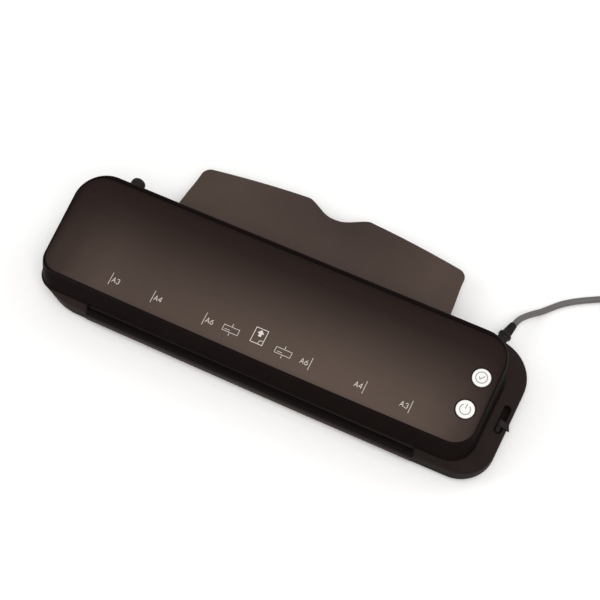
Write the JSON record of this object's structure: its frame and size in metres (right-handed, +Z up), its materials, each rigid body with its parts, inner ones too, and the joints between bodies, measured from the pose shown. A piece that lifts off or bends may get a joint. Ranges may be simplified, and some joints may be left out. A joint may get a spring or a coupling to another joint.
{
  "type": "pouch laminator",
  "caption": "Desktop pouch laminator with a sloping control panel, entry and exit slots, heated rollers, a plug-in exit tray and a mains lead.",
  "frame": {"origin": "on the table under the middle of the machine with its exit tray in place, without the mains lead", "axes": "+X along the rollers to the control button side, +Y from the entry slot to the exit slot, +Z up"},
  "size_m": [0.6066, 0.2714, 0.0691],
  "materials": {
    "base_shell": "satin dark brown moulded plastic",
    "cover_shell": "near-black brown moulded plastic",
    "panel": "satin metallic brown paint",
    "bezel": "black gloss plastic",
    "button": "white moulded plastic with a printed sign",
    "tray": "satin brown moulded plastic",
    "black_plastic": "black moulded plastic",
    "circuit_board": "green solder resist",
    "components": "dark moulded cases",
    "steel": "bright zinc plated steel",
    "zinc_sheet": "galvanised sheet",
    "fuse_glass": "clear glass",
    "cord_rubber": "black flexible sheath",
    "foot_rubber": "black rubber",
    "guide_plastic": "dark heat-resistant plastic",
    "heater_plate": "mill finish aluminium",
    "heater_strip": "mica faced strip",
    "thermo_body": "unglazed ceramic",
    "bush_brass": "sintered bronze",
    "silicone": "red-brown silicone",
    "gear_nylon": "natural nylon",
    "terminal": "cream polyamide"
  },
  "bodies": {
    "chassis": {"base_casing": "base_shell", "top_cover": "cover_shell", "top_panel": "panel", "button_bezels": "bezel", "control_board": "circuit_board", "board_components": "components", "tact_switches": "components", "board_screws": "steel", "fuse_holder": "black_plastic", "strain_relief": "cord_rubber", "power_cord": "cord_rubber", "cord_coil": "cord_rubber", "mains_plug": "cord_rubber", "plug_pins": "steel", "rubber_feet": "foot_rubber", "casing_screws": "steel", "left_side_frame": "zinc_sheet", "right_side_frame": "zinc_sheet", "frame_screws": "steel", "tie_bars": "steel", "lower_entry_guide": "guide_plastic", "upper_entry_guide": "guide_plastic", "exit_guide": "guide_plastic", "lower_heater_plate": "heater_plate", "upper_heater_plate": "heater_plate", "heater_elements": "heater_strip", "heat_shield": "heater_plate", "thermostat": "thermo_body", "thermal_fuse": "steel", "lower_bushes": "bush_brass", "upper_bushes": "bush_brass", "pressure_springs": "steel", "idler_pins": "steel", "gear_motor": "zinc_sheet", "motor_bracket": "zinc_sheet", "motor_screws": "steel", "terminal_block": "terminal"},
    "exit_tray": {"exit_tray": "tray"},
    "power_button": {"power_button": "button"},
    "ready_button": {"ready_button": "button"},
    "release_slider": {"release_slider": "black_plastic", "release_link": "zinc_sheet"},
    "fuse_cap": {"fuse_cap": "black_plastic", "fuse": "fuse_glass"},
    "front_lower_roller": {"front_lower_sleeve": "silicone", "front_lower_shaft": "steel", "front_lower_gear": "gear_nylon"},
    "front_upper_roller": {"front_upper_sleeve": "silicone", "front_upper_shaft": "steel", "front_upper_gear": "gear_nylon"},
    "rear_lower_roller": {"rear_lower_sleeve": "silicone", "rear_lower_shaft": "steel", "rear_lower_gear": "gear_nylon"},
    "rear_upper_roller": {"rear_upper_sleeve": "silicone", "rear_upper_shaft": "steel", "rear_upper_gear": "gear_nylon"},
    "front_idler": {"front_idler_gear": "gear_nylon"},
    "middle_idler": {"middle_idler_gear": "gear_nylon"},
    "rear_idler": {"rear_idler_gear": "gear_nylon"},
    "motor_pinion": {"motor_pinion": "steel"}
  },
  "joints": [
    {"name": "exit_tray_slide", "type": "slide", "parent": "chassis", "child": "exit_tray", "axis": [0, 1, 0], "range_m": [0, 0.016]},
    {"name": "power_button_press", "type": "slide", "parent": "chassis", "child": "power_button", "axis": [0, -0.1805, 0.9836], "range_m": [-0.001, 0], "stiffness_N_per_m": 400, "springref_m": 0.001},
    {"name": "ready_button_press", "type": "slide", "parent": "chassis", "child": "ready_button", "axis": [0, -0.1805, 0.9836], "range_m": [-0.001, 0], "stiffness_N_per_m": 400, "springref_m": 0.001},
    {"name": "release_slide", "type": "slide", "parent": "chassis", "child": "release_slider", "axis": [0, 1, 0], "range_m": [0, 0.015]},
    {"name": "fuse_cap_turn", "type": "hinge", "parent": "chassis", "child": "fuse_cap", "pos_m": [-0.178, 0.02465, 0.052], "axis": [0, 1, 0], "range_deg": [0, 60]},
    {"name": "front_lower_roller_spin", "type": "hinge", "parent": "chassis", "child": "front_lower_roller", "pos_m": [0, -0.07325, 0.01735], "axis": [1, 0, 0], "continuous": true},
    {"name": "front_upper_roller_spin", "type": "hinge", "parent": "chassis", "child": "front_upper_roller", "pos_m": [0, -0.07325, 0.03465], "axis": [1, 0, 0], "continuous": true},
    {"name": "rear_lower_roller_spin", "type": "hinge", "parent": "chassis", "child": "rear_lower_roller", "pos_m": [0, -0.0071, 0.01735], "axis": [1, 0, 0], "continuous": true},
    {"name": "rear_upper_roller_spin", "type": "hinge", "parent": "chassis", "child": "rear_upper_roller", "pos_m": [0, -0.0071, 0.03465], "axis": [1, 0, 0], "continuous": true},
    {"name": "front_idler_spin", "type": "hinge", "parent": "chassis", "child": "front_idler", "pos_m": [0, -0.05646, 0.01735], "axis": [1, 0, 0], "continuous": true},
    {"name": "middle_idler_spin", "type": "hinge", "parent": "chassis", "child": "middle_idler", "pos_m": [0, -0.04018, 0.01735], "axis": [1, 0, 0], "continuous": true},
    {"name": "rear_idler_spin", "type": "hinge", "parent": "chassis", "child": "rear_idler", "pos_m": [0, -0.02389, 0.01735], "axis": [1, 0, 0], "continuous": true},
    {"name": "motor_pinion_spin", "type": "hinge", "parent": "chassis", "child": "motor_pinion", "pos_m": [0, -0.04018, 0.0316], "axis": [1, 0, 0], "continuous": true}
  ],
  "couplings": [
    {"joint": "front_idler_spin", "follows": "front_lower_roller_spin", "ratio": -1.0625},
    {"joint": "middle_idler_spin", "follows": "front_lower_roller_spin", "ratio": 1.0625},
    {"joint": "rear_idler_spin", "follows": "front_lower_roller_spin", "ratio": -1.0625},
    {"joint": "rear_lower_roller_spin", "follows": "front_lower_roller_spin", "ratio": 1},
    {"joint": "front_upper_roller_spin", "follows": "front_lower_roller_spin", "ratio": -1},
    {"joint": "rear_upper_roller_spin", "follows": "front_lower_roller_spin", "ratio": -1},
    {"joint": "motor_pinion_spin", "follows": "front_lower_roller_spin", "ratio": -1.4167}
  ]
}
